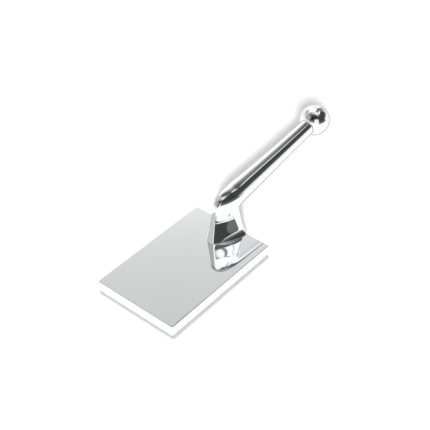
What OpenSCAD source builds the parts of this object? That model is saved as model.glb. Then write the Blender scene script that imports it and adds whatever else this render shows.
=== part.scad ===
// Offset-handle meat pounder: a thick polished plate with a cranked neck that
// stands on its rear end, a slim tapered round grip and a ball at the end.
// Origin: centre of the flat pounding face. +X runs along the grip towards the
// ball, +Z is up, so the plate's underside lies in z = 0.

/* [Plate] */
// Length of the pounding plate, front to rear
plate_length = 125; // [110:1:160]
// Width of the pounding plate
plate_width = 81; // [70:1:100]
// Thickness of the pounding plate
plate_h = 10; // [9:0.5:14]
// Radius of the plate's four upright corners
corner_r = 1.5; // [1:0.1:3]
// Eased edge round the plate's top and pounding faces
edge = 0.5; // [0.3:0.1:0.8]

/* [Neck] */
// Distance from the plate's rear edge to the front facet of the neck's foot
neck_depth = 30; // [28:0.5:33]
// Rearward lean of the neck's front facet, in degrees
neck_lean = 8.5; // [6:0.5:10]
// Half width of the neck at its rear, at the foot but without the flare
neck_half_w = 13.1; // [12:0.1:14]
// How much narrower each side of the neck is at the bend than at the foot
neck_draft = 2.1; // [1:0.1:2.5]
// Extra half width of the flared foot where it meets the plate
foot_flare = 3.7; // [3:0.1:5]
// Height over which the foot's flare dies away
flare_h = 3.6; // [3:0.2:7]
// Height of the plain land at the bottom of the foot
land_h = 0.7; // [0.4:0.1:1.2]
// Half width of the narrow front facet at the foot
facet_foot = 3.4; // [2.8:0.1:4]
// Half width of the narrow front facet at the bend
facet_top = 1.7; // [1.2:0.1:2.4]
// Inside radius of the bend under the grip
bend_r = 2.5; // [2:0.5:5]

/* [Grip] */
// Height of the grip's axis over the plate, where the grip leaves the neck
grip_h = 35.2; // [34:0.1:45]
// Length of the grip from there to the ball's seat
grip_length = 93.1; // [85:1:115]
// Rise of the grip's axis per millimetre at its front end
grip_rise = 0.108; // [0.06:0.002:0.16]
// Radius of the grip at the neck
grip_neck_r = 10.2; // [9.4:0.1:10.8]
// Radius of the grip at the ball
grip_ball_r = 7.5; // [6.8:0.02:7.8]

/* [Ball] */
// Diameter of the ball at the end of the grip
ball_d = 28.5; // [26:0.2:32]

/* [Hardware] */
// Thread diameter of the two countersunk screws that hold the neck down
screw_d = 6; // [5:1:6]
// Diameter of the two dowels that locate the neck's foot
dowel_d = 4; // [3:1:4]
// Thread diameter of the stud that carries the ball
stud_d = 8; // [6:1:8]

/* [Hidden] */
$fn = 96;
gap = 0.05; // radial clearance of a fastener in its hole
over = 1;   // how far a cut runs past the face it opens

steel = [0.86, 0.87, 0.88];
polished = [0.82, 0.83, 0.85];
bright = [0.90, 0.90, 0.92];
fastener = [0.70, 0.71, 0.73];

function mix(a, b, t) = a + (b - a) * t;
function ease(t) = t * t * (3 - 2 * t);

// Neck: its rear wall, set in a little at the foot, and its front facet
plate_rear = plate_length / 2;
wall_x = plate_rear + 1.1;
wall_set_in = 1.2;
front_x = plate_rear - neck_depth;
front_slope = tan(neck_lean);

// Grip axis: a very gentle upward curve
grip_x = plate_rear + 13.5;
grip_z = plate_h + grip_h;
grip_end_x = grip_x + grip_length;
grip_curl = 0.0002;
taper_power = 1.4;
function axis_z(x) = grip_z + grip_rise * (x - grip_x) + grip_curl * pow(x - grip_x, 2);
function axis_angle(x) = atan(grip_rise + 2 * grip_curl * (x - grip_x));
function taper(x) =
    grip_ball_r
    + (grip_neck_r - grip_ball_r) * pow(1 - min(1, (x - grip_x) / grip_length), taper_power);

// Where the bend ends on the grip axis, square to it from the bend's pivot.
// The position depends on its own angle and radius, so it is found by repetition.
pivot_x = wall_x + bend_r;
function bend_end(x, rounds) =
    rounds == 0 ? x
    : bend_end(pivot_x - (bend_r + taper(x)) * sin(axis_angle(x)), rounds - 1);
start_x = bend_end(pivot_x, 16);

// The grip leaves the bend parallel to its axis, then takes up its taper
settle = 4;
slope_step = 0.01;
taper_slope = (taper(start_x - slope_step) - taper(start_x + slope_step)) / (2 * slope_step);
function grip_r(x) = taper(x) - taper_slope * settle * exp(-max(0, x - start_x) / settle);

// Bend: it swings about the pivot, the centre of its inside radius
bend_angle = axis_angle(start_x);
bend_grip_r = grip_r(start_x);
bend_x = pivot_x - (bend_r + bend_grip_r) * sin(bend_angle);
pivot_z = axis_z(bend_x) - (bend_r + bend_grip_r) * cos(bend_angle);
bend_outer_r = bend_r + 2 * bend_grip_r;
top_x = pivot_x - bend_outer_r * sin(bend_angle);
top_z = pivot_z + bend_outer_r * cos(bend_angle);
top_slope = tan(bend_angle);

// Outer reach of the bend from its pivot. The neck's front line and the grip's
// top line, each as 1 / distance along a ray, are joined by a soft corner.
corner_power = 4.5; // higher is sharper
hump = 1.3;         // extra reach halfway round
function ray_angle(t) = 180 - (90 - bend_angle) * t;
function inv_front(a) =
    (cos(a) - front_slope * sin(a)) / (front_x + front_slope * (pivot_z - plate_h) - pivot_x);
function inv_top(a) =
    (sin(a) - top_slope * cos(a)) / (top_z + top_slope * (pivot_x - top_x) - pivot_z);
function bend_reach(t) =
    let (a = ray_angle(t),
         sum = pow(max(0, inv_front(a)), corner_power) + pow(max(0, inv_top(a)), corner_power))
    pow(sum, -1 / corner_power) + hump * pow(sin(180 * t), 2);

// A station is [front x, front z, rear x, rear z, half width, facet half width,
// rear corner radius, roundness from 0 (wedge) to 1 (circle)].
rear_r = 5.5;
foot_r = 1.6;
neck_top_half_w = neck_half_w - neck_draft;
neck_top_facet = facet_top + 0.6;
function neck_station(z) =
    let (up = z - plate_h,
         k = up / (pivot_z - plate_h),
         flare = exp(-max(0, up - land_h) / flare_h) * (1 - ease(k)))
    [front_x + front_slope * up, z, wall_x - wall_set_in * flare, z,
     neck_half_w - neck_draft * k + foot_flare * flare,
     mix(facet_foot, neck_top_facet, k), mix(foot_r, rear_r, ease(k)), 0];
function bend_station(t) =
    let (a = ray_angle(t), reach = bend_reach(t))
    [pivot_x + reach * cos(a), pivot_z + reach * sin(a),
     pivot_x + bend_r * cos(a), pivot_z + bend_r * sin(a),
     mix(neck_top_half_w, bend_grip_r, 1 - pow(1 - t, 2)),
     mix(neck_top_facet, facet_top, t), rear_r, pow(ease(t), 0.8)];
function grip_station(x) =
    let (a = axis_angle(x), r = grip_r(x), z = axis_z(x))
    [x - r * sin(a), z + r * cos(a), x + r * sin(a), z - r * cos(a), r, 1, rear_r, 1];

// Steps along each part; the neck's crowd towards the foot
neck_n = 12;
bend_n = 16;
grip_n = 16;
crowding = 1.6;
land_z = plate_h + land_h;
stations = concat(
    [neck_station(plate_h)],
    [for (i = [0 : neck_n])
        neck_station(land_z + (pivot_z - land_z) * pow(i / neck_n, crowding))],
    [for (i = [1 : bend_n]) bend_station(i / bend_n)],
    [for (i = [1 : grip_n]) grip_station(mix(bend_x, grip_end_x, i / grip_n))]);

// Points on the parts of half a section, from the front facet to the rear
facet_n = 2;
side_n = 11;
corner_n = 6;
rear_n = 2;
half_n = facet_n + side_n + corner_n + rear_n;
ring_n = 2 * half_n - 2;

// Half a wedge section as [distance from the front, half width]
side_bow = 1.5;
function wedge(s, depth) =
    let (half_w = s[4], facet = s[5], r = s[6])
    concat(
        [for (i = [0 : facet_n - 1]) [0, facet * i / facet_n]],
        [for (i = [0 : side_n - 1])
            let (t = i / (side_n - 1))
            [t * (depth - r), facet + (half_w - facet) * (1 - pow(1 - t, side_bow))]],
        [for (i = [1 : corner_n])
            let (a = 90 * i / (corner_n + 1))
            [depth - r + r * sin(a), half_w - r + r * cos(a)]],
        [for (i = [0 : rear_n - 1]) [depth, (half_w - r) * (1 - i / (rear_n - 1))]]);

// The same points round an ellipse; each part ends at its own angle
facet_end = 22;
side_end = 120;
corner_end = 160;
angles = concat(
    [for (i = [0 : facet_n - 1]) facet_end * i / facet_n],
    [for (i = [0 : side_n - 1]) mix(facet_end, side_end, i / (side_n - 1))],
    [for (i = [1 : corner_n]) mix(side_end, corner_end, i / (corner_n + 1))],
    [for (i = [0 : rear_n - 1]) mix(corner_end, 180, i / (rear_n - 1))]);
function oval(s, depth) = [for (a = angles) [depth / 2 * (1 - cos(a)), s[4] * sin(a)]];

// A station's whole section, as a ring of points in space
function section(s) =
    let (dx = s[2] - s[0],
         dz = s[3] - s[1],
         depth = sqrt(dx * dx + dz * dz),
         half = mix(wedge(s, depth), oval(s, depth), s[7]))
    [for (k = [0 : ring_n - 1])
        let (near = k < half_n, p = half[near ? k : ring_n - k])
        [s[0] + dx / depth * p[0], near ? p[1] : -p[1], s[1] + dz / depth * p[0]]];

// A closed skin over a list of stations, with a hub point in each end face
module loft(list) {
    n = len(list);
    last = (n - 1) * ring_n;
    hub = n * ring_n;
    function next(k) = (k + 1) % ring_n;
    function middle(s, t) = [mix(s[0], s[2], t), 0, mix(s[1], s[3], t)];
    polyhedron(
        points = concat(
            [for (s = list) each section(s)],
            [middle(list[0], 0.6), middle(list[n - 1], 0.5)]),
        faces = concat(
            [for (k = [0 : ring_n - 1]) [hub, k, next(k)]],
            [for (i = [0 : n - 2], k = [0 : ring_n - 1])
                let (a = i * ring_n, b = a + ring_n, q = next(k))
                each [[a + k, b + q, a + q], [a + k, b + k, b + q]]],
            [for (k = [0 : ring_n - 1]) [hub + 1, last + next(k), last + k]]));
}

// Screws in a row along X, with a dowel each side midway between them
screw_x = [plate_rear - 20.5, plate_rear - 6.5];
screw_r = screw_d / 2;
screw_top = plate_h + 16;
screw_chamfer = 0.8;
head_r = screw_d;
head_z = 0.3;
head_gap = 0.1;
shank_gap = 0.2;
dowel_x = (screw_x[0] + screw_x[1]) / 2;
dowel_y = 5.6;
dowel_low = plate_h - 5.5;
dowel_high = plate_h + 6.5;
dowel_end_gap = 0.3;
end_gap = 1; // space past the end of a screw or the stud
module at_screws(z) {
    for (x = screw_x) translate([x, 0, z]) children();
}
module at_dowels(z) {
    for (side = [-1, 1]) translate([dowel_x, side * dowel_y, z]) children();
}

// The ball sits on the grip's end face, on a flat slightly wider than the grip
seat = sqrt(pow(ball_d / 2, 2) - pow(grip_ball_r + 0.12, 2));
seat_gap = 0.02;
stud_in = 15;
stud_out = 12;
module at_grip_end(z) {
    translate([grip_end_x, 0, axis_z(grip_end_x)])
        rotate([0, 90 - axis_angle(grip_end_x), 0])
            translate([0, 0, z]) children();
}

// One side of an upright profile with both corners cut off
function bevelled(x, height, cut) = [[x - cut, 0], [x, cut], [x, height - cut], [x - cut, height]];

module slab(width, height, cut) {
    side = bevelled(width / 2, height, cut);
    polygon(concat(side, [for (i = [3 : -1 : 0]) [-side[i][0], side[i][1]]]));
}

module round_bar(r, height, cut) {
    rotate_extrude() polygon(concat([[0, 0]], bevelled(r, height, cut), [[0, height]]));
}

module plate() {
    inner_length = plate_length - 2 * corner_r;
    inner_width = plate_width - 2 * corner_r;
    cone_r = head_r + head_gap;
    shank_r = screw_r + shank_gap;
    color(polished)
    difference() {
        union() {
            translate([-inner_length / 2, 0, 0]) rotate([90, 0, 90])
                linear_extrude(inner_length) slab(plate_width, plate_h, edge);
            translate([0, inner_width / 2, 0]) rotate([90, 0, 0])
                linear_extrude(inner_width) slab(plate_length, plate_h, edge);
            for (sx = [-1, 1], sy = [-1, 1])
                translate([sx * inner_length / 2, sy * inner_width / 2, 0])
                    round_bar(corner_r, plate_h, edge, $fn = 48);
        }
        at_screws(0) {
            translate([0, 0, -over]) cylinder(r = cone_r, h = over + head_z);
            translate([0, 0, head_z]) cylinder(r1 = cone_r, r2 = shank_r, h = cone_r - shank_r);
            cylinder(r = shank_r, h = plate_h + over);
        }
        at_dowels(dowel_low - dowel_end_gap) cylinder(r = dowel_d / 2 + gap, h = plate_h);
    }
}

module handle() {
    foot_z = plate_h - over;
    color(steel)
    difference() {
        loft(stations);
        at_screws(foot_z) cylinder(r = screw_r + gap, h = screw_top + end_gap - foot_z);
        at_dowels(foot_z)
            cylinder(r = dowel_d / 2 + gap, h = dowel_high + dowel_end_gap - foot_z);
        at_grip_end(-stud_in - end_gap)
            cylinder(r = stud_d / 2 + gap, h = stud_in + end_gap + 2 * over);
    }
}

module ball_knob() {
    color(bright)
    at_grip_end(seat + seat_gap)
        difference() {
            sphere(d = ball_d);
            translate([-ball_d, -ball_d, -seat - ball_d]) cube([2 * ball_d, 2 * ball_d, ball_d]);
            translate([0, 0, -seat - over])
                cylinder(r = stud_d / 2 + gap, h = stud_out + end_gap + over);
        }
}

module ball_stud() {
    color(fastener)
    at_grip_end(-stud_in) round_bar(stud_d / 2, stud_in + stud_out, 0.8);
}

// Countersunk screws, heads down, each with a hex socket
module foot_screws() {
    length = screw_top - head_z;
    color(fastener)
    at_screws(head_z)
        difference() {
            rotate_extrude()
                polygon([[0, 0], [head_r, 0], [screw_r, head_r - screw_r],
                         [screw_r, length - screw_chamfer],
                         [screw_r - screw_chamfer, length], [0, length]]);
            translate([0, 0, -over])
                cylinder(r = screw_d / 3 / cos(30), h = over + screw_d * 0.4, $fn = 6);
        }
}

module dowel_pins() {
    color(fastener)
    at_dowels(dowel_low) round_bar(dowel_d / 2, dowel_high - dowel_low, 0.5);
}

plate();
handle();
ball_knob();
ball_stud();
foot_screws();
dowel_pins();
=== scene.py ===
"""A hand pounder: a flat steel plate, a cranked handle screwed to it and a ball on the grip's end.

The plate is centred on the Z axis with its underside at z = 0. The neck stands at the plate's
+X end, and the grip runs out past it along +X, rising a little. Y is the plane of symmetry's normal.
Sizes are in millimetres unless a comment says metres.
"""
import math
from collections import namedtuple

import bmesh
import bpy
import numpy as np
from mathutils import Matrix, Vector


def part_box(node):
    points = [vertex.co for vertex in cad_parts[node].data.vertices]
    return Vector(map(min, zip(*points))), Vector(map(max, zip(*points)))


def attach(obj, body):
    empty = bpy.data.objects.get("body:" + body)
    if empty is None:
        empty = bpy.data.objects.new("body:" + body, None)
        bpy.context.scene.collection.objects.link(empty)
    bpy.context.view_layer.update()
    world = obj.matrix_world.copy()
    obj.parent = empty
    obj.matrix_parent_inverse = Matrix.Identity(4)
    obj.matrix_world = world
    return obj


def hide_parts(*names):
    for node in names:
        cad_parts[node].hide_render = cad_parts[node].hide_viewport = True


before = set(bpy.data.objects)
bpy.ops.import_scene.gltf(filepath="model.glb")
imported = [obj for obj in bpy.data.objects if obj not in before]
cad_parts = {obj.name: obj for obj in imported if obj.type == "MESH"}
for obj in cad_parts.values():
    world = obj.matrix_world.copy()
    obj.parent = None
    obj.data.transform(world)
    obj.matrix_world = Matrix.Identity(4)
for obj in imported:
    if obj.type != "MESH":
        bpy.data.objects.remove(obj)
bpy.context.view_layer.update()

scene = bpy.context.scene
MM = 0.001

# ---------------------------------------------------------------- sizes
plate_low, plate_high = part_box("plate")
PLATE_LENGTH, PLATE_WIDTH, PLATE_TOP = ((plate_high[i] - plate_low[i]) / MM for i in range(3))
PLATE_END = PLATE_LENGTH / 2
PLATE_CORNER = 1.5
PLATE_EDGE = 0.55

# The handle's outer side is the neck's -X face and the grip's top. Its inner side is the neck's
# +X face and the grip's underside.
OUTER_FOOT_X = PLATE_END - 30.0
INNER_WALL_X = PLATE_END + 1.1
OUTER_LEAN = math.tan(math.radians(8.5))
NECK_HALF_WIDTH = 13.1
NECK_DRAFT = 2.1  # half width lost up the neck
FOOT_FLARE = 3.7  # half width gained at the foot
FOOT_INSET = 1.2  # how far the foot pulls the inner wall towards -X
FLARE_HEIGHT = 3.6  # height over which the foot's flare dies away
LAND_HEIGHT = 0.7  # full flare below this
FACET_FOOT, FACET_NECK_TOP, FACET_BEND_END = 3.4, 1.7 + 0.6, 1.7  # half widths of the outer facet
FOOT_CORNER, INNER_CORNER = 1.6, 5.5  # radii of the inner corners
FILLET_HEIGHT, FILLET_REACH = 0.8, 0.65  # fillet on the plate
BEND_RADIUS = 2.5  # inner side of the bend
BEND_HUMP = 1.3  # extra bulge on the outer side of the bend
BEND_SOFTNESS = 4.5  # higher is a tighter outer bend
GRIP_START_X = PLATE_END + 13.5
GRIP_START_Z = PLATE_TOP + 35.2
GRIP_END_X = GRIP_START_X + 93.1
GRIP_RISE, GRIP_CURL = 0.108, 0.0002  # slope at the start, and its quadratic term
GRIP_START_R, GRIP_END_R = 10.2, 7.5
TAPER_SETTLE = 4.0  # length over which the taper begins after the bend
END_EDGE = 0.4  # easing of the grip's end edge
CREASE_SOFTNESS = 0.45  # smoothing length along each section's outline

BALL_R = 28.5 / 2
BALL_GAP = 0.02  # between the grip's end and the ball's flat

DOWEL_X, DOWEL_Y, DOWEL_R = PLATE_END - 13.5, 5.6, 2.0
DOWEL_BOTTOM, DOWEL_TOP = PLATE_TOP - 5.5, PLATE_TOP + 6.5
SCREW_XS = (DOWEL_X - 7, DOWEL_X + 7)
SCREW_TOP, SCREW_R = PLATE_TOP + 16, 3.0
HEAD_R, HEAD_Z = 6.0, 0.3
HEAD_CONE = HEAD_R - SCREW_R  # 45 degree countersink
STUD_IN, STUD_OUT, STUD_R = 15.0, 12.0, 4.0  # lengths in the grip and in the ball
BORE_CLEARANCE = 0.05


def mix(a, b, t):
    return a + (b - a) * t


def ease(t):
    return t * t * (3 - 2 * t)


def quarter(t):
    """Cosine and sine of the share t of a right angle."""
    angle = math.radians(90 * t)
    return math.cos(angle), math.sin(angle)


# ---------------------------------------------------------------- the handle's course
def axis_z(x):
    return GRIP_START_Z + GRIP_RISE * (x - GRIP_START_X) + GRIP_CURL * (x - GRIP_START_X) ** 2


def axis_angle(x):
    return math.atan(GRIP_RISE + 2 * GRIP_CURL * (x - GRIP_START_X))


def taper(x):
    along = min(1, (x - GRIP_START_X) / (GRIP_END_X - GRIP_START_X))
    return GRIP_END_R + (GRIP_START_R - GRIP_END_R) * (1 - along) ** 1.4


PIVOT_X = INNER_WALL_X + BEND_RADIUS
taper_x = PIVOT_X  # where the bend hands over to the grip, closed in on step by step
for _ in range(16):
    taper_x = PIVOT_X - (BEND_RADIUS + taper(taper_x)) * math.sin(axis_angle(taper_x))
TAPER_RATE = (taper(taper_x - 0.01) - taper(taper_x + 0.01)) / 0.02


def grip_radius(x):
    """The taper, with its start eased so that it leaves the bend without a kink."""
    settle = math.exp(-max(0, x - taper_x) / TAPER_SETTLE)
    return taper(x) - TAPER_RATE * TAPER_SETTLE * settle


BEND_ANGLE = axis_angle(taper_x)
BEND_GRIP_R = grip_radius(taper_x)
BEND_END_X = PIVOT_X - (BEND_RADIUS + BEND_GRIP_R) * math.sin(BEND_ANGLE)
PIVOT_Z = axis_z(BEND_END_X) - (BEND_RADIUS + BEND_GRIP_R) * math.cos(BEND_ANGLE)
BEND_TOP_X = PIVOT_X - (BEND_RADIUS + 2 * BEND_GRIP_R) * math.sin(BEND_ANGLE)
BEND_TOP_Z = PIVOT_Z + (BEND_RADIUS + 2 * BEND_GRIP_R) * math.cos(BEND_ANGLE)
BEND_TOP_RISE = math.tan(BEND_ANGLE)

END_ANGLE = axis_angle(GRIP_END_X)
END_CENTRE = (GRIP_END_X, 0, axis_z(GRIP_END_X))
END_AXIS = (math.cos(END_ANGLE), 0, math.sin(END_ANGLE))
end_side = Vector((math.sin(END_ANGLE), 0, -math.cos(END_ANGLE)))
# the grip's end face, its +Z running out along the grip
GRIP_END = Matrix((end_side, Vector((0, 1, 0)), Vector(END_AXIS))).transposed().to_4x4()
GRIP_END.translation = Vector(END_CENTRE)

# Where a section lies and its shape: roundness 0 is a faceted wedge, 1 an oval.
Station = namedtuple(
    "Station", "outer_x outer_z inner_x inner_z half_width facet corner roundness")


def neck_station(z):
    height = z - PLATE_TOP
    up = height / (PIVOT_Z - PLATE_TOP)
    foot = math.exp(-max(0, height - LAND_HEIGHT) / FLARE_HEIGHT) * (1 - ease(up))
    return Station(
        outer_x=OUTER_FOOT_X + OUTER_LEAN * height, outer_z=z,
        inner_x=INNER_WALL_X - FOOT_INSET * foot, inner_z=z,
        half_width=NECK_HALF_WIDTH - NECK_DRAFT * up + FOOT_FLARE * foot,
        facet=mix(FACET_FOOT, FACET_NECK_TOP, up),
        corner=mix(FOOT_CORNER, INNER_CORNER, ease(up)), roundness=0.0)


def bend_station(t):
    """A section through the bend's pivot, from the neck (t = 0) to the grip (t = 1)."""
    angle = math.pi - (math.pi / 2 - BEND_ANGLE) * t
    cos, sin = math.cos(angle), math.sin(angle)
    # one over the distance from the pivot to the neck's outer line and to the grip's top line
    to_neck = ((cos - OUTER_LEAN * sin)
               / (OUTER_FOOT_X + OUTER_LEAN * (PIVOT_Z - PLATE_TOP) - PIVOT_X))
    to_grip = ((sin - BEND_TOP_RISE * cos)
               / (BEND_TOP_Z + BEND_TOP_RISE * (PIVOT_X - BEND_TOP_X) - PIVOT_Z))
    blended = max(0, to_neck) ** BEND_SOFTNESS + max(0, to_grip) ** BEND_SOFTNESS
    outer = blended ** (-1 / BEND_SOFTNESS) + BEND_HUMP * math.sin(math.pi * t) ** 2
    return Station(
        outer_x=PIVOT_X + outer * cos, outer_z=PIVOT_Z + outer * sin,
        inner_x=PIVOT_X + BEND_RADIUS * cos, inner_z=PIVOT_Z + BEND_RADIUS * sin,
        half_width=mix(NECK_HALF_WIDTH - NECK_DRAFT, BEND_GRIP_R, 1 - (1 - t) ** 2),
        facet=mix(FACET_NECK_TOP, FACET_BEND_END, t),
        corner=INNER_CORNER, roundness=ease(t) ** 0.8)


def grip_station(x):
    angle, radius, z = axis_angle(x), grip_radius(x), axis_z(x)
    side, up = radius * math.sin(angle), radius * math.cos(angle)
    return Station(
        outer_x=x - side, outer_z=z + up, inner_x=x + side, inner_z=z - up,
        half_width=radius, facet=1.0, corner=INNER_CORNER, roundness=1.0)


# ---------------------------------------------------------------- the handle's sections
# Half an outline runs from the outer to the inner side in four parts, each with t from 0 to 1.
FACET, FLANK, CORNER, INNER = range(4)
OVAL_ARCS = ((0, 22), (22, 98), (120, 40), (160, 20))  # each part's start and sweep, in degrees
MESH_KEYS = (
    [(FACET, t) for t in (0, 0.3, 0.55, 0.72, 0.84, 0.92, 0.97)]
    + [(FLANK, t) for t in (0, 0.008, 0.018, 0.032, 0.05, 0.075)]
    + [(FLANK, 0.075 + 0.925 * (i / 26)) for i in range(1, 27)]
    + [(CORNER, i / 14) for i in range(1, 14)]
    + [(INNER, t) for t in (0, 0.3, 0.65, 1)])
FINE_KEYS = (
    [(FACET, i / 10) for i in range(10)] + [(FLANK, i / 150) for i in range(150)]
    + [(CORNER, i / 30) for i in range(30)] + [(INNER, i / 20) for i in range(21)])
SOFTENING_SAMPLES = 1024


def half_outline(station, depth, keys):
    """Points (distance from the outer side, y) on the +Y half of a section."""
    width, corner = station.half_width, station.corner
    half = []
    for part, t in keys:
        if part == FACET:
            wedge = 0.0, station.facet * t
        elif part == FLANK:
            spread = (width - station.facet) * (1 - (1 - t) ** 1.5)
            wedge = t * (depth - corner), station.facet + spread
        elif part == CORNER:
            turn = math.pi / 2 * t
            wedge = (depth - corner + corner * math.sin(turn),
                     width - corner + corner * math.cos(turn))
        else:
            wedge = depth, (width - corner) * (1 - t)
        start, sweep = OVAL_ARCS[part]
        angle = math.radians(start + sweep * t)
        oval = depth / 2 * (1 - math.cos(angle)), width * math.sin(angle)
        half.append([mix(a, b, station.roundness) for a, b in zip(wedge, oval)])
    return np.array(half)


def mirrored(half):
    """The closed outline from its +Y half."""
    return np.vstack([half, half[-2:0:-1] * [1, -1]])


def section(station, grow=0.0):
    """A closed ring of 3-D points, its creases softened, grown outwards by grow."""
    run_x = station.inner_x - station.outer_x
    run_z = station.inner_z - station.outer_z
    depth = math.hypot(run_x, run_z)
    run_x, run_z = run_x / depth, run_z / depth
    half = half_outline(station, depth, MESH_KEYS)

    # an evenly spaced copy of the outline, blurred along its length
    fine = mirrored(half_outline(station, depth, FINE_KEYS))
    loop = np.vstack([fine, fine[:1]])
    length = np.r_[0, np.cumsum(np.hypot(*np.diff(loop, axis=0).T))]
    count = SOFTENING_SAMPLES
    at = np.arange(count) * length[-1] / count
    dense = np.c_[np.interp(at, length, loop[:, 0]), np.interp(at, length, loop[:, 1])]
    sigma = CREASE_SOFTNESS / (length[-1] / count)
    blur = np.exp(-2 * (math.pi * np.fft.fftfreq(count) * sigma) ** 2)[:, None]
    soft = np.fft.ifft(np.fft.fft(dense, axis=0) * blur, axis=0).real
    if grow:
        tangent = np.roll(soft, -1, axis=0) - np.roll(soft, 1, axis=0)
        tangent /= np.linalg.norm(tangent, axis=1)[:, None]
        soft = soft + np.c_[-tangent[:, 1], tangent[:, 0]] * grow

    # each mesh point takes the softened place of its nearest sample
    half = soft[[int(np.argmin(np.hypot(*(dense - point).T))) for point in half]]
    half[[0, -1], 1] = 0.0
    return np.array([(station.outer_x + run_x * p, y, station.outer_z + run_z * p)
                     for p, y in mirrored(half)])


# ---------------------------------------------------------------- mesh helpers
def new_object(name, verts, faces):
    """An object in the scene from vertices in millimetres, its normals facing out."""
    mesh = bpy.data.meshes.new(name)
    mesh.from_pydata([tuple(float(c) * MM for c in v) for v in verts], [], faces)
    mesh.validate()
    bm = bmesh.new()
    bm.from_mesh(mesh)
    bmesh.ops.recalc_face_normals(bm, faces=bm.faces)
    bm.to_mesh(mesh)
    bm.free()
    ob = bpy.data.objects.new(name, mesh)
    scene.collection.objects.link(ob)
    return ob


def ring_mesh(rings, last_cap=True):
    """Vertices and faces of a skin over equal rings, capped at the first and, if asked, the last."""
    n = len(rings[0])
    verts = [point for ring in rings for point in ring]
    faces = []
    for i in range(len(rings) - 1):
        for k in range(n):
            q = (k + 1) % n
            faces.append((i * n + k, i * n + q, (i + 1) * n + q, (i + 1) * n + k))
    faces.append(tuple(range(n)))
    if last_cap:
        faces.append(tuple((len(rings) - 1) * n + k for k in range(n)))
    return verts, faces


def circle_point(radius, z, k, n):
    angle = 2 * math.pi * k / n
    return Vector((radius * math.cos(angle), radius * math.sin(angle), z))


def circle(radius, z, n):
    """A ring of n points, or the single point on the axis where the radius is 0."""
    if radius == 0:
        return [Vector((0, 0, z))]
    return [circle_point(radius, z, k, n) for k in range(n)]


def round_piece(name, rings, n, matrix):
    """A closed piece over rings of n points that starts and ends with a single axis point."""
    verts, faces, ids = [], [], []
    for ring in rings:
        ids.append(range(len(verts), len(verts) + len(ring)))
        verts += [matrix @ v for v in ring]
    for a, b in zip(ids, ids[1:]):
        for k in range(n):
            q = (k + 1) % n
            if len(a) == 1:
                faces.append((a[0], b[q], b[k]))
            elif len(b) == 1:
                faces.append((a[k], a[q], b[0]))
            else:
                faces.append((a[k], a[q], b[q], b[k]))
    return new_object(name, verts, faces)


def lathe(name, profile, n, matrix):
    """A turned piece from its profile of (radius, height), axis to axis."""
    return round_piece(name, [circle(r, z, n) for r, z in profile], n, matrix)


def bore(radius, bottom, top, n, matrix, bottom_cone=0.0, top_cone=0.0):
    """A cutter for a round hole, with a cone of the given height at either end."""
    radius += BORE_CLEARANCE
    profile = [(0, bottom - bottom_cone), (radius, bottom), (radius, top), (0, top + top_cone)]
    return lathe("cutter", profile, n, matrix)


def remove(ob):
    mesh = ob.data
    bpy.data.objects.remove(ob)
    bpy.data.meshes.remove(mesh)


def cut(ob, cutters):
    """Cuts the cutters out of ob's mesh and removes them."""
    for cutter in cutters:
        modifier = ob.modifiers.new("cut", "BOOLEAN")
        modifier.operation = "DIFFERENCE"
        modifier.solver = "EXACT"
        modifier.object = cutter
    depsgraph = bpy.context.evaluated_depsgraph_get()
    mesh = bpy.data.meshes.new_from_object(ob.evaluated_get(depsgraph))
    ob.modifiers.clear()
    old = ob.data
    ob.data = mesh
    bpy.data.meshes.remove(old)
    for cutter in cutters:
        remove(cutter)


def join_pair(name, first, second):
    bm = bmesh.new()
    bm.from_mesh(first.data)
    bm.from_mesh(second.data)
    bm.to_mesh(first.data)
    bm.free()
    remove(second)
    first.name = name
    return first


def sharpen(ob, degrees):
    """Smooth shading, with edges over this angle kept sharp."""
    ob.data.shade_smooth()
    ob.data.set_sharp_from_angle(angle=math.radians(degrees))
    return ob


def dowel_places():
    return [Matrix.Translation((DOWEL_X, side * DOWEL_Y, 0)) for side in (-1, 1)]


# ---------------------------------------------------------------- plate
def plate_outline(inset, z):
    """The plate's rounded rectangle at height z, counterclockwise."""
    radius, steps = PLATE_CORNER - inset, 10
    points = []
    for side_x, side_y, start in ((1, 1, 0), (-1, 1, 90), (-1, -1, 180), (1, -1, 270)):
        for i in range(steps + 1):
            angle = math.radians(start + 90 * i / steps)
            points.append((side_x * (PLATE_LENGTH / 2 - PLATE_CORNER) + radius * math.cos(angle),
                           side_y * (PLATE_WIDTH / 2 - PLATE_CORNER) + radius * math.sin(angle),
                           z))
    return points


def build_plate():
    lower, steps = [], 6
    for i in range(steps + 1):
        cos, sin = quarter(i / steps)
        lower.append(plate_outline(PLATE_EDGE - PLATE_EDGE * sin, PLATE_EDGE - PLATE_EDGE * cos))
    upper = [[(x, y, PLATE_TOP - z) for x, y, z in ring] for ring in lower[::-1]]
    ob = new_object("pounding_plate", *ring_mesh(lower + upper))

    head, shank = HEAD_R + 0.1, SCREW_R + 0.2
    countersink = [(0, -1), (head, -1), (head, HEAD_Z), (shank, HEAD_Z + HEAD_CONE - 0.1),
                   (shank, PLATE_TOP + 1), (0, PLATE_TOP + 1)]
    cutters = [lathe("cutter", countersink, 96, Matrix.Translation((x, 0, 0))) for x in SCREW_XS]
    cutters += [bore(DOWEL_R, DOWEL_BOTTOM - 0.3, PLATE_TOP + 1, 48, place)
                for place in dowel_places()]
    cut(ob, cutters)
    sharpen(ob, 35)

    # the broad faces end crisply, so that they look flat right up to the edge (areas in m2)
    broad_edges = set()
    for face in ob.data.polygons:
        if face.area > 30e-6 and abs(face.normal.z) > 0.999 or face.area > 300e-6:
            broad_edges.update(face.edge_keys)
    for edge in ob.data.edges:
        if edge.key in broad_edges:
            edge.use_edge_sharp = True
    return ob


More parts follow.
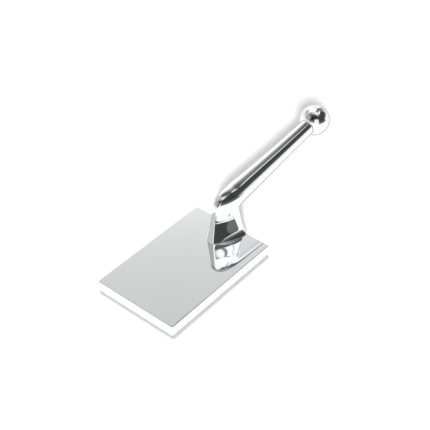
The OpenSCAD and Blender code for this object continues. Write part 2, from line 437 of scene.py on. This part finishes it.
# ---------------------------------------------------------------- handle
def build_handle():
    rings = []
    fillet_steps, neck_steps, bend_steps, grip_steps, edge_steps = 7, 70, 90, 60, 3
    for i in range(fillet_steps):
        cos, sin = quarter(i / fillet_steps)
        z = PLATE_TOP + FILLET_HEIGHT * (1 - cos) * 0.999
        rings.append(section(neck_station(z), grow=FILLET_REACH * (1 - sin)))
    land_top = PLATE_TOP + LAND_HEIGHT
    for i in range(1, neck_steps + 1):  # closer together near the foot
        z = land_top + (PIVOT_Z - PLATE_TOP - LAND_HEIGHT) * (i / neck_steps) ** 1.25
        rings.append(section(neck_station(z)))
    for i in range(1, bend_steps + 1):
        rings.append(section(bend_station(i / bend_steps)))
    for i in range(1, grip_steps + 1):
        x = mix(BEND_END_X, GRIP_END_X - END_EDGE - 0.05, i / grip_steps)
        rings.append(section(grip_station(x)))
    # eased end edge, against the ball
    axis, centre = np.array(END_AXIS), np.array(END_CENTRE)
    last = section(grip_station(GRIP_END_X))
    for i in range(1, edge_steps + 1):
        cos, sin = quarter(i / edge_steps)
        back, inset = END_EDGE * (1 - sin), END_EDGE * (1 - cos)
        rings.append(centre + (last - centre) * (1 - inset / GRIP_END_R) - axis * back)
    ob = new_object("cranked_handle", *ring_mesh(rings))

    cutters = [bore(SCREW_R, PLATE_TOP - 1, SCREW_TOP + 1, 64, Matrix.Translation((x, 0, 0)),
                    top_cone=0.6) for x in SCREW_XS]
    cutters += [bore(DOWEL_R, PLATE_TOP - 1, DOWEL_TOP + 0.3, 48, place, top_cone=0.5)
                for place in dowel_places()]
    cutters.append(bore(STUD_R, -STUD_IN - 1, 2, 64, GRIP_END, bottom_cone=1))
    cut(ob, cutters)
    return sharpen(ob, 40)


# ---------------------------------------------------------------- ball
def build_ball():
    """A ball with a flat against the grip and a blind bore for the stud."""
    flat_r = GRIP_END_R + 0.12
    centre = math.sqrt(BALL_R * BALL_R - flat_r ** 2) + BALL_GAP
    bore_r = STUD_R + BORE_CLEARANCE
    mouth = 0.4  # chamfer at the bore's mouth
    profile = [(0, STUD_OUT + 1.4), (bore_r, STUD_OUT + 0.6), (bore_r, BALL_GAP + mouth),
               (bore_r + mouth, BALL_GAP), (GRIP_END_R - 0.15, BALL_GAP)]
    start = -math.degrees(math.acos(flat_r / BALL_R))
    for degrees in np.linspace(start, 90, 97)[:-1]:
        angle = math.radians(degrees)
        profile.append((BALL_R * math.cos(angle), centre + BALL_R * math.sin(angle)))
    profile.append((0, centre + BALL_R))
    return sharpen(lathe("ball_end", profile, 160, GRIP_END), 35)


# ---------------------------------------------------------------- fasteners
def threaded(name, radius, pitch, bottom, top, n, matrix, head=()):
    """A rod with a helical thread from bottom to top, both ends chamfered.

    head is a turned profile that takes the place of the bottom end; the thread then fades
    in from it and fades out at the top.
    """
    depth, rows_per_turn, chamfer, top_fade = 0.55 * pitch, 8, 0.8, 0.3
    crest, flank = 0.12, 0.76  # shares of the thread's half turn
    rings = [circle(r, z, n) for r, z in head or [(0, bottom)]]
    rows = int((top - bottom) / pitch * rows_per_turn)
    for j in range(rows + 1):
        z = mix(bottom, top, j / rows)
        limit = radius - max(0.0, chamfer - (top - z))
        fade = 1.0
        if head:
            fade = max(0.0, min(1.0, (z - bottom) / pitch, (top - z) / top_fade + 0.0001))
        else:
            limit -= max(0.0, chamfer - (z - bottom))
        ring = []
        for k in range(n):
            wave = abs(2 * ((z / pitch - k / n) % 1.0) - 1)
            groove = depth * min(1, max(0, (wave - crest) / flank)) * fade
            ring.append(circle_point(min(radius - groove, limit), z, k, n))
        rings.append(ring)
    rings.append(circle(0, top, n))
    return round_piece(name, rings, n, matrix)


def hex_recess(place):
    """A cutter for the screw head's hexagonal socket, 4 mm across flats."""
    radius, depth = 2.0 / math.cos(math.radians(30)), 2.4
    wide = radius + 0.35
    rings = []
    for r, z in ((wide, -0.4), (wide, -0.02), (radius, 0.28), (radius, depth)):
        angles = [math.radians(60 * k) for k in range(6)]
        rings.append([place @ Vector((r * math.cos(a), r * math.sin(a), z)) for a in angles])
    verts, faces = ring_mesh(rings, last_cap=False)
    last, tip = len(verts) - 6, len(verts)
    verts.append(place @ Vector((0, 0, depth + 0.5)))
    faces += [(last + k, last + (k + 1) % 6, tip) for k in range(6)]
    return new_object("cutter", verts, faces)


def build_screws():
    """Two countersunk screws, heads down."""
    head = [(0, 0), (HEAD_R - 0.35, 0), (HEAD_R - 0.1, 0.06), (HEAD_R, 0.2), (HEAD_R - 0.05, 0.32),
            (SCREW_R + 0.25, HEAD_CONE + 0.02), (SCREW_R, HEAD_CONE + 0.3)]
    screws = []
    for x in SCREW_XS:
        place = Matrix.Translation((x, 0, HEAD_Z))
        ob = threaded("foot_screw", SCREW_R, pitch=1.0, bottom=HEAD_CONE + 0.6,
                      top=SCREW_TOP - HEAD_Z, n=48, matrix=place, head=head)
        cut(ob, [hex_recess(place)])
        screws.append(ob)
    return sharpen(join_pair("foot_screw_pair", *screws), 30)


def build_dowels():
    # (inset from the radius, height above the end) of the rounded end
    end = [(0.5, 0), (0.25, 0.12), (0.05, 0.4), (0, 0.8)]
    profile = [(0, DOWEL_BOTTOM)] + [(DOWEL_R - inset, DOWEL_BOTTOM + z) for inset, z in end]
    profile += [(r, DOWEL_BOTTOM + DOWEL_TOP - z) for r, z in profile[::-1]]
    dowels = [lathe("dowel", profile, 64, place) for place in dowel_places()]
    return sharpen(join_pair("dowel_pair", *dowels), 40)


def build_stud():
    ob = threaded("ball_stud_rod", STUD_R, pitch=1.25, bottom=-STUD_IN, top=STUD_OUT,
                  n=56, matrix=GRIP_END)
    return sharpen(ob, 30)


plate = build_plate()
handle = build_handle()
ball = build_ball()
screws = build_screws()
dowels = build_dowels()
stud = build_stud()
for ob, node, slot in (
        (plate, "plate", "plate_metal"),
        (handle, "handle", "handle_metal"),
        (ball, "ball_knob", "ball_metal"),
        (screws, "foot_screws", "fastener_steel"),
        (dowels, "dowel_pins", "fastener_steel"),
        (stud, "ball_stud", "fastener_steel")):
    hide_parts(node)
    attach(ob, "root")


# ---------------------------------------------------------------- node helpers
def rgba(value):
    """A grey number or an RGB triple as RGBA. A socket passes through."""
    if isinstance(value, (int, float)):
        return (value,) * 3 + (1,)
    if isinstance(value, tuple):
        return value + (1,)
    return value


class Nodes:
    """Writes a node tree. Values may be numbers or output sockets."""

    def __init__(self, tree):
        self.tree = tree

    def add(self, kind, **settings):
        node = self.tree.nodes.new(kind)
        for key, value in settings.items():
            setattr(node, key, value)
        return node

    def put(self, socket, value):
        if hasattr(value, "is_output"):
            self.tree.links.new(value, socket)
        else:
            socket.default_value = value

    def math(self, operation, a, b=0.0):
        node = self.add("ShaderNodeMath", operation=operation)
        for socket, value in zip(node.inputs, (a, b, 0.0)):
            self.put(socket, value)
        return node.outputs[0]

    def ramp(self, factor, stops):
        node = self.add("ShaderNodeValToRGB")
        elements = node.color_ramp.elements
        while len(elements) > 1:
            elements.remove(elements[-1])
        for i, (position, value) in enumerate(stops):
            element = elements[0] if i == 0 else elements.new(position)
            element.position = position
            element.color = rgba(value)
        self.put(node.inputs[0], factor)
        return node.outputs[0]

    def rise(self, value, start, end):
        """A smooth step from 0 at start to 1 at end."""
        node = self.add("ShaderNodeMapRange", interpolation_type="SMOOTHSTEP")
        self.put(node.inputs["Value"], value)
        node.inputs["From Min"].default_value = start
        node.inputs["From Max"].default_value = end
        return node.outputs["Result"]

    def fall(self, value, start, end):
        return self.math("SUBTRACT", 1.0, self.rise(value, start, end))

    def band(self, value, low, high, soft):
        """1 between low and high, its ends blurred by soft to either side."""
        return self.math("MULTIPLY", self.rise(value, low - soft, low + soft),
                         self.fall(value, high - soft, high + soft))

    def mix(self, factor, a, b, blend="MIX"):
        node = self.add("ShaderNodeMix", data_type="RGBA", blend_type=blend)
        self.put(node.inputs[0], factor)
        self.put(node.inputs[6], rgba(a))
        self.put(node.inputs[7], rgba(b))
        return node.outputs[2]

    def mix_shader(self, factor, a, b):
        node = self.add("ShaderNodeMixShader")
        for socket, value in zip(node.inputs, (factor, a, b)):
            self.put(socket, value)
        return node.outputs[0]

    def noise(self, vector, scale, detail, roughness=0.5, distortion=0.0):
        node = self.add("ShaderNodeTexNoise")
        self.put(node.inputs["Vector"], vector)
        node.inputs["Scale"].default_value = scale
        node.inputs["Detail"].default_value = detail
        node.inputs["Roughness"].default_value = roughness
        node.inputs["Distortion"].default_value = distortion
        return node.outputs["Fac"]

    def stretch(self, vector, scale, rotation=(0, 0, 0)):
        node = self.add("ShaderNodeMapping")
        self.put(node.inputs["Vector"], vector)
        node.inputs["Scale"].default_value = scale
        node.inputs["Rotation"].default_value = rotation
        return node.outputs["Vector"]

    def bump(self, height, distance, strength=1.0, normal=None):
        node = self.add("ShaderNodeBump")
        node.inputs["Strength"].default_value = strength
        node.inputs["Distance"].default_value = distance
        self.put(node.inputs["Height"], height)
        if normal is not None:
            self.put(node.inputs["Normal"], normal)
        return node.outputs[0]


# ---------------------------------------------------------------- metals, distances in metres
def new_metal(name):
    """A bare metal: the material, its nodes, its shader's inputs and the object coordinates."""
    material = bpy.data.materials.new(name)
    material.use_nodes = True
    material.node_tree.nodes.clear()
    nodes = Nodes(material.node_tree)
    output = nodes.add("ShaderNodeOutputMaterial")
    shader = nodes.add("ShaderNodeBsdfPrincipled")
    nodes.put(output.inputs[0], shader.outputs[0])
    shader.inputs["Metallic"].default_value = 1.0
    coords = nodes.add("ShaderNodeTexCoord").outputs["Object"]
    return material, nodes, shader.inputs, coords


def polished(name, tint, roughness, wave_height, wave_scale, hair_depth, hair_scale, hair_turn,
             rim=1.0):
    """Mirror-polished steel: soft waviness, directional hairlines and faint smears in the gloss.

    rim multiplies the colour where the surface is seen at a slant: painted shade that draws a dark
    outline along the silhouettes.
    """
    material, nodes, inputs, coords = new_metal(name)
    cloud = nodes.noise(coords, scale=22.0, detail=3.0)
    dark = tuple(c * 0.985 for c in tint)
    view = nodes.add("ShaderNodeLayerWeight")
    view.inputs["Blend"].default_value = 0.5
    # painted shade: the colour darkens towards the silhouettes, a dark outline line, not a property
    # of the steel
    slant = nodes.ramp(view.outputs["Facing"],
                       [(0.0, 1.0), (0.57, 1.0), (0.68, rim), (0.97, rim * 1.05)])
    clouded = nodes.ramp(cloud, [(0.3, dark), (0.7, tint)])
    nodes.put(inputs["Base Color"], nodes.mix(1.0, clouded, slant, blend="MULTIPLY"))

    hair = nodes.noise(nodes.stretch(coords, hair_scale, hair_turn),
                       scale=1.0, detail=3.0, roughness=0.6)
    smear = nodes.noise(coords, scale=45.0, detail=4.0, roughness=0.6, distortion=0.6)
    from_hair = nodes.math("MULTIPLY", nodes.ramp(hair, [(0.45, 0.0), (0.75, 1.0)]),
                           roughness * 0.7)
    from_smear = nodes.math("MULTIPLY", nodes.ramp(smear, [(0.5, 0.0), (0.8, 1.0)]),
                            roughness * 0.6)
    extra = nodes.math("ADD", from_hair, from_smear)
    nodes.put(inputs["Roughness"], nodes.math("ADD", extra, roughness))

    wave = nodes.noise(coords, scale=wave_scale, detail=1.0, roughness=0.4)
    wavy = nodes.bump(wave, wave_height)
    nodes.put(inputs["Normal"], nodes.bump(hair, hair_depth, normal=wavy))
    return material


def turned(name):
    """Turned steel for the fasteners: ring marks and a mottled colour."""
    material, nodes, inputs, coords = new_metal(name)
    mottle = nodes.noise(coords, scale=900.0, detail=3.0)
    nodes.put(inputs["Base Color"], nodes.ramp(
        mottle, [(0.3, (0.50, 0.505, 0.515)), (0.7, (0.64, 0.645, 0.655))]))
    marks = nodes.noise(nodes.stretch(coords, (300, 300, 9000)), scale=1.0, detail=2.0)
    varied, smoothest = 0.16, 0.2  # roughness
    nodes.put(inputs["Roughness"],
              nodes.math("ADD", nodes.math("MULTIPLY", marks, varied), smoothest))
    nodes.put(inputs["Normal"], nodes.bump(marks, distance=0.00001, strength=0.5))
    return material


plate_steel = polished(
    "mirror_plate_steel", tint=(0.955, 0.96, 0.965), roughness=0.035,
    wave_height=0.000010, wave_scale=26.0,
    hair_depth=0.0000004, hair_scale=(40, 2600, 2600), hair_turn=(0, 0, 0.3))
handle_steel = polished(
    "mirror_cast_steel", tint=(0.955, 0.96, 0.965), roughness=0.030,
    wave_height=0.000035, wave_scale=48.0,
    hair_depth=0.0000006, hair_scale=(60, 3000, 3000), hair_turn=(0, 0.1, 0), rim=0.42)
ball_steel = polished(
    "mirror_ball_steel", tint=(0.96, 0.963, 0.968), roughness=0.028,
    wave_height=0.00002, wave_scale=60.0,
    hair_depth=0.0000005, hair_scale=(2400, 2400, 200), hair_turn=(0, 1.4, 0), rim=0.5)
fastener_steel = turned("turned_steel")
for ob, material in (
        (plate, plate_steel), (handle, handle_steel), (ball, ball_steel),
        (screws, fastener_steel), (dowels, fastener_steel), (stud, fastener_steel)):
    ob.data.materials.clear()
    ob.data.materials.append(material)


# ---------------------------------------------------------------- floor
def floor_shade(nodes, light_path):
    """Where the floor's glow is painted darker in reflections: a painted shade patch far out on the
    -Y side, seen only by rays from low down.
    """
    hub_x = 0.05  # metres, as are the lengths below
    geometry = nodes.add("ShaderNodeNewGeometry")
    place = nodes.add("ShaderNodeSeparateXYZ")
    nodes.put(place.inputs[0], geometry.outputs["Position"])
    incoming = nodes.add("ShaderNodeSeparateXYZ")
    nodes.put(incoming.inputs[0], geometry.outputs["Incoming"])
    # the height the ray came from
    height = nodes.math("MULTIPLY", incoming.outputs[2], light_path.outputs["Ray Length"])
    x, y = nodes.math("SUBTRACT", place.outputs[0], hub_x), place.outputs[1]
    azimuth = nodes.math("MULTIPLY", nodes.math("ARCTAN2", y, x), 180 / math.pi)
    reach = nodes.math("SQRT", nodes.math(
        "ADD", nodes.math("MULTIPLY", x, x), nodes.math("MULTIPLY", y, y)))
    wedge = nodes.math("MULTIPLY", nodes.rise(azimuth, -116, -108), nodes.fall(azimuth, -68, -62))
    patch = nodes.math("MULTIPLY", wedge, nodes.rise(reach, 0.17, 0.26))
    return nodes.math("MULTIPLY", patch, nodes.fall(height, 0.019, 0.025))


def white_table():
    """A matt white floor. Seen straight from the metal it is painted light, an even glow instead of
    the lamps' shading, and after more than one bounce it is painted greyer.
    """
    # later_bounce_grey is painted shade, the floor's colour after more than one bounce; glow is
    # painted light, the strength of the floor's even glow in the metal
    later_bounce_grey, shaded_grey, glow = 0.66, 0.115, 1.16
    material = bpy.data.materials.new("white_table")
    material.use_nodes = True
    nodes = Nodes(material.node_tree)
    shader = material.node_tree.nodes["Principled BSDF"]
    shader.inputs["Roughness"].default_value = 0.9
    shader.inputs["Specular IOR Level"].default_value = 0.0
    light_path = nodes.add("ShaderNodeLightPath")
    later = nodes.math("GREATER_THAN", light_path.outputs["Ray Depth"], 1.5)
    coords = nodes.add("ShaderNodeTexCoord").outputs["Object"]
    mottle = nodes.ramp(nodes.noise(coords, scale=9.0, detail=3.0), [(0.3, 0.9), (0.7, 0.91)])
    white = nodes.mix(later, mottle, later_bounce_grey)
    nodes.put(shader.inputs["Base Color"], white)

    # painted light: the metal sees this even glow in place of the lit floor
    even = nodes.add("ShaderNodeEmission")
    # painted shade: inside floor_shade's patch the glow's colour drops to shaded_grey
    nodes.put(even.inputs[0], nodes.mix(floor_shade(nodes, light_path), white, shaded_grey))
    even.inputs[1].default_value = glow
    mirrored_ray = nodes.math("GREATER_THAN", nodes.math(
        "SUBTRACT", light_path.outputs["Is Glossy Ray"], light_path.outputs["Diffuse Depth"]), 0.5)
    surface = nodes.mix_shader(mirrored_ray, shader.outputs[0], even.outputs[0])
    nodes.put(material.node_tree.nodes["Material Output"].inputs["Surface"], surface)
    return material


FLOOR_HALF, FLOOR_Z = 4000, -0.05
floor = new_object(
    "floor", [(x * FLOOR_HALF, y * FLOOR_HALF, FLOOR_Z)
              for x, y in ((-1, -1), (1, -1), (1, 1), (-1, 1))], [(0, 1, 2, 3)])
floor.data.materials.append(white_table())

# ---------------------------------------------------------------- studio, as seen in the metal
# Azimuth runs counterclockwise from +X and elevation up from the horizon, in degrees.
# Stops are (elevation, grey): an sRGB grey up to 255, and a linear share of 255 above that.
GLOW = 275
PAST_END = 200  # an azimuth beyond the last, for sectors that run on to 180
MINUS_X_STOPS = [(-90, GLOW), (8, 250), (13, 190), (20, 120), (28, 85), (36, 45), (55, 42),
                 (64, 75), (72, 110), (80, 190), (87, 245)]
# the walls after the -X one: start azimuth, softness, stops
WALLS = [
    (-146, 4, [(-90, GLOW), (31, 250), (36, 190), (41, 80), (46, 56), (60, 56), (68, 90),
               (76, 210), (85, 250)]),
    (-113, 4, [(-90, GLOW), (-1, GLOW), (0.5, 150), (4, 110), (14, 84), (21, 60), (46, 62),
               (54, 82), (60, 136), (66, 215), (72, 248), (85, 252)]),
    (-58, 5, [(-90, GLOW), (11, 245), (17, 160), (23, 72), (46, 64), (52.5, 60), (57, 95),
              (64, 150), (74, 190), (85, 240)]),
    (-20, 5, [(-90, GLOW), (6, 245), (12, 212), (26, 188), (33, 150), (40, 118), (45, 132),
              (50, 96), (52, 140), (56.5, 146), (59, 92), (68, 90), (78, 150), (88, 240)]),
    (14, 4, [(-90, GLOW), (38.4, GLOW), (39.1, 252), (39.8, 236), (40.7, 228), (42, 221),
             (44.5, 211), (47.2, 207), (50.5, 150), (56, 120), (59.5, 88), (68, 84),
             (76, 120), (86, 240)]),
    (78, 8, [(-90, GLOW), (12, 246), (20, 225), (30, 188), (40, 186), (50, 214), (60, 190),
             (70, 172), (85, 245)]),
    (130, 8, [(-90, GLOW), (8, 245), (15, 210), (25, 155), (38, 180), (46, 140), (55, 112),
              (65, 115), (78, 230), (88, 245)]),
]
# what later bounces see: the ground layer, then sectors of start, end, softness, stops
DEEP_STOPS = [(-90, GLOW), (60, GLOW), (63, 215), (80, 200)]
DEEP_SECTORS = [
    (-92, -58, 2, [(-90, GLOW), (53.2, GLOW), (54.6, 92), (64, 96), (72, 150), (84, 200)]),
    (-61, PAST_END, 2, [(-90, GLOW), (51.6, GLOW), (53, 92), (59, 90), (65, 170), (72, 200)]),
    (16, PAST_END, 5, [(-90, GLOW), (44.6, GLOW), (46.6, 88), (60, 84), (72, 130)]),
]
DEEP_LAST_SECTOR = (92, 172, 6, [(-90, 204), (45, 204), (50, 176), (85, 176)])


def grey(level):
    """The linear value of a grey level."""
    share = level / 255
    if level > 255:
        return share
    return share / 12.92 if share < 0.04045 else ((share + 0.055) / 1.055) ** 2.4


def build_world():
    world = bpy.data.worlds.new("studio")
    scene.world = world
    world.use_nodes = True
    world.node_tree.nodes.clear()
    nodes = Nodes(world.node_tree)
    direction = nodes.add("ShaderNodeSeparateXYZ")
    nodes.put(direction.inputs[0], nodes.add("ShaderNodeTexCoord").outputs["Generated"])
    x, y, z = direction.outputs
    elevation = nodes.math("MULTIPLY", nodes.math("ARCSINE", z), 180 / math.pi)
    azimuth = nodes.math("MULTIPLY", nodes.math("ARCTAN2", y, x), 180 / math.pi)

    def by_elevation(stops):
        share = nodes.math("DIVIDE", nodes.math("ADD", elevation, 90.0), 180.0)
        return nodes.ramp(share, [((e + 90) / 180, grey(level)) for e, level in stops])

    def sector(base, value, start, end, soft):
        return nodes.mix(nodes.band(azimuth, start, end, soft), base, value)

    def panel(base, value, azimuths, elevations, soft_azimuth, soft_elevation):
        mask = nodes.math("MULTIPLY", nodes.band(azimuth, *azimuths, soft_azimuth),
                          nodes.band(elevation, *elevations, soft_elevation))
        return nodes.mix(mask, base, value)

    minus_x = by_elevation(MINUS_X_STOPS)
    room = minus_x
    for start, soft, stops in WALLS:
        room = sector(room, by_elevation(stops), start, PAST_END, soft)
    room = sector(room, minus_x, 171, PAST_END, 6)
    room = panel(room, 0.95, (-29, -9), (53.4, 56.2), 1.5, 1.0)

    # after two bounces: the neck in the plate, and the plate in the neck
    deep = by_elevation(DEEP_STOPS)
    for start, end, soft, stops in DEEP_SECTORS:
        deep = sector(deep, by_elevation(stops), start, end, soft)
    low = nodes.mix(nodes.rise(azimuth, -88, -84), grey(66), grey(110))
    for value, azimuths, elevations, soft_azimuth, soft_elevation in (
            (low, (-140, -79), (-3, 34.8), 3, 0.8),
            (low, (-84, -67), (-3, 37), 2, 0.8),
            (grey(216), (-64, -34), (-10, 34), 3, 1.5),
            (grey(130), (-81.5, -77.5), (43, 56), 0.9, 1.0),
            (grey(205), (-66.5, -63.5), (43, 56), 0.7, 1.0)):
        deep = panel(deep, value, azimuths, elevations, soft_azimuth, soft_elevation)
    start, end, soft, stops = DEEP_LAST_SECTOR
    deep = sector(deep, by_elevation(stops), start, end, soft)

    light_path = nodes.add("ShaderNodeLightPath")
    ray = light_path.outputs
    seen = nodes.mix(nodes.math("GREATER_THAN", ray["Ray Depth"], 2.5), room, deep)

    def background(colour, strength):
        node = nodes.add("ShaderNodeBackground")
        nodes.put(node.inputs[0], rgba(colour))
        node.inputs[1].default_value = strength
        return node.outputs[0]

    diffuse = nodes.math("GREATER_THAN", nodes.math(
        "ADD", ray["Is Diffuse Ray"], ray["Diffuse Depth"]), 0.5)
    lit = nodes.mix_shader(diffuse, background(seen, 1.0), background(1.0, 0.05))
    surface = nodes.mix_shader(ray["Is Camera Ray"], lit, background(1.0, 1.05))
    nodes.put(nodes.add("ShaderNodeOutputWorld").inputs[0], surface)


build_world()


# ---------------------------------------------------------------- camera
def build_camera():
    heading, height, roll = (math.radians(v) for v in (-50.93, 40.279, 0.676))
    distance, shift_right, shift_up = 842.6, 24.983, 47.576
    back = Vector((math.sin(heading) * math.cos(height),
                   -math.cos(heading) * math.cos(height), math.sin(height)))
    level = Vector((math.cos(heading), math.sin(heading), 0))
    upright = back.cross(level)
    right = level * math.cos(roll) + upright * math.sin(roll)
    up = upright * math.cos(roll) - level * math.sin(roll)

    camera = bpy.data.objects.new("camera", bpy.data.cameras.new("camera"))
    scene.collection.objects.link(camera)
    pose = Matrix((right, up, back)).transposed().to_4x4()
    pose.translation = (back * distance + right * shift_right + up * shift_up) * MM
    camera.matrix_world = pose
    camera.data.sensor_width = 36
    camera.data.lens = 36 / 0.43  # the view is 0.43 m wide at 1 m
    camera.data.clip_start = 0.01
    scene.camera = camera


build_camera()


# ---------------------------------------------------------------- lights, in metres
def group(name, *objects):
    collection = bpy.data.collections.new(name)
    for ob in objects:
        collection.objects.link(ob)
    return collection


def area(name, at, target, size, power, receivers, blockers=None, size_y=None):
    """A disk lamp that lights diffusely, or with size_y an ellipse seen only as a highlight."""
    light = bpy.data.lights.new(name, "AREA")
    light.shape = "DISK" if size_y is None else "ELLIPSE"
    light.size = size
    if size_y is not None:
        light.size_y = size_y
    light.energy = power
    ob = bpy.data.objects.new(name, light)
    scene.collection.objects.link(ob)
    ob.location = at
    ob.rotation_euler = (Vector(target) - Vector(at)).to_track_quat("-Z", "Y").to_euler()
    ob.visible_glossy = size_y is not None
    ob.visible_diffuse = size_y is None
    ob.visible_camera = False
    if blockers is not None:
        ob.light_linking.blocker_collection = blockers
    ob.light_linking.receiver_collection = receivers


upper = group("casts_key_shadow", handle, ball)
lower = group("casts_contact_shadow", plate)
ground = group("lit_ground", floor)
end_only = group("end_highlights", ball)


def softbox(name, azimuth, elevation, half_width, half_height, level):
    """A lit panel seen only in the ball, placed and sized in degrees around it."""
    centre, distance = Vector((0.181, 0, 0.0587)), 3.0
    a, e = math.radians(azimuth), math.radians(elevation)
    at = centre + distance * Vector(
        (math.cos(a) * math.cos(e), math.sin(a) * math.cos(e), math.sin(e)))
    width = 2 * distance * math.tan(math.radians(half_width))
    height = 2 * distance * math.tan(math.radians(half_height))
    power = level * math.pi * math.pi / 4 * width * height
    area(name, at, centre, width, power, receivers=end_only, size_y=height)


softbox("panel_far", azimuth=62, elevation=63, half_width=21, half_height=17, level=1.25)
softbox("panel_near", azimuth=-42, elevation=63, half_width=11, half_height=3.2, level=1.1)
# key light on the camera's side: its soft shadow lies just behind the grip
area("key", at=(-6.17, -4.36, 4.79), target=(0.12, 0, 0.05), size=0.86, power=853.0,
     receivers=ground, blockers=upper)
# high back light: a short soft shadow along the plate's near edges
area("back", at=(2.10, 2.85, 8.55), target=(0.0, 0, 0), size=2.6, power=520.0,
     receivers=ground, blockers=lower)

scene.view_settings.view_transform = "Standard"
scene.view_settings.look = "None"
scene.view_settings.exposure = 0.0
scene.view_settings.gamma = 1.0
